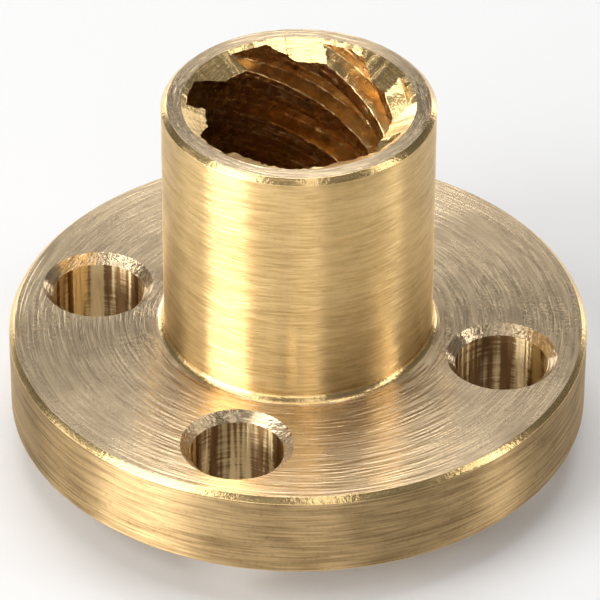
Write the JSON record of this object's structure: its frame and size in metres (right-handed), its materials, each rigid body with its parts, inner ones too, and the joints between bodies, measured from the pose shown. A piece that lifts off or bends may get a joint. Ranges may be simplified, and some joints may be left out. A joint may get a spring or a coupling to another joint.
{
  "type": "lead screw nut",
  "caption": "Flanged brass nut with a plain cylindrical hub, a ring of screw holes in the flange and a coarse multi-start trapezoidal thread through its bore.",
  "frame": {"origin": "centre of the bore on the end face of the locating boss, the lowest point of the nut", "axes": "+Z along the bore's axis, from the locating boss through the flange towards the hub's nose; +X to the right in the reference view, with the first screw hole 73.8 degrees anticlockwise from +X"},
  "size_m": [0.022, 0.022, 0.015],
  "materials": {
    "brass": "turned and lightly brushed, with fine turning lines"
  },
  "bodies": {
    "root": {"lead_screw_nut": "brass"}
  },
  "joints": []
}
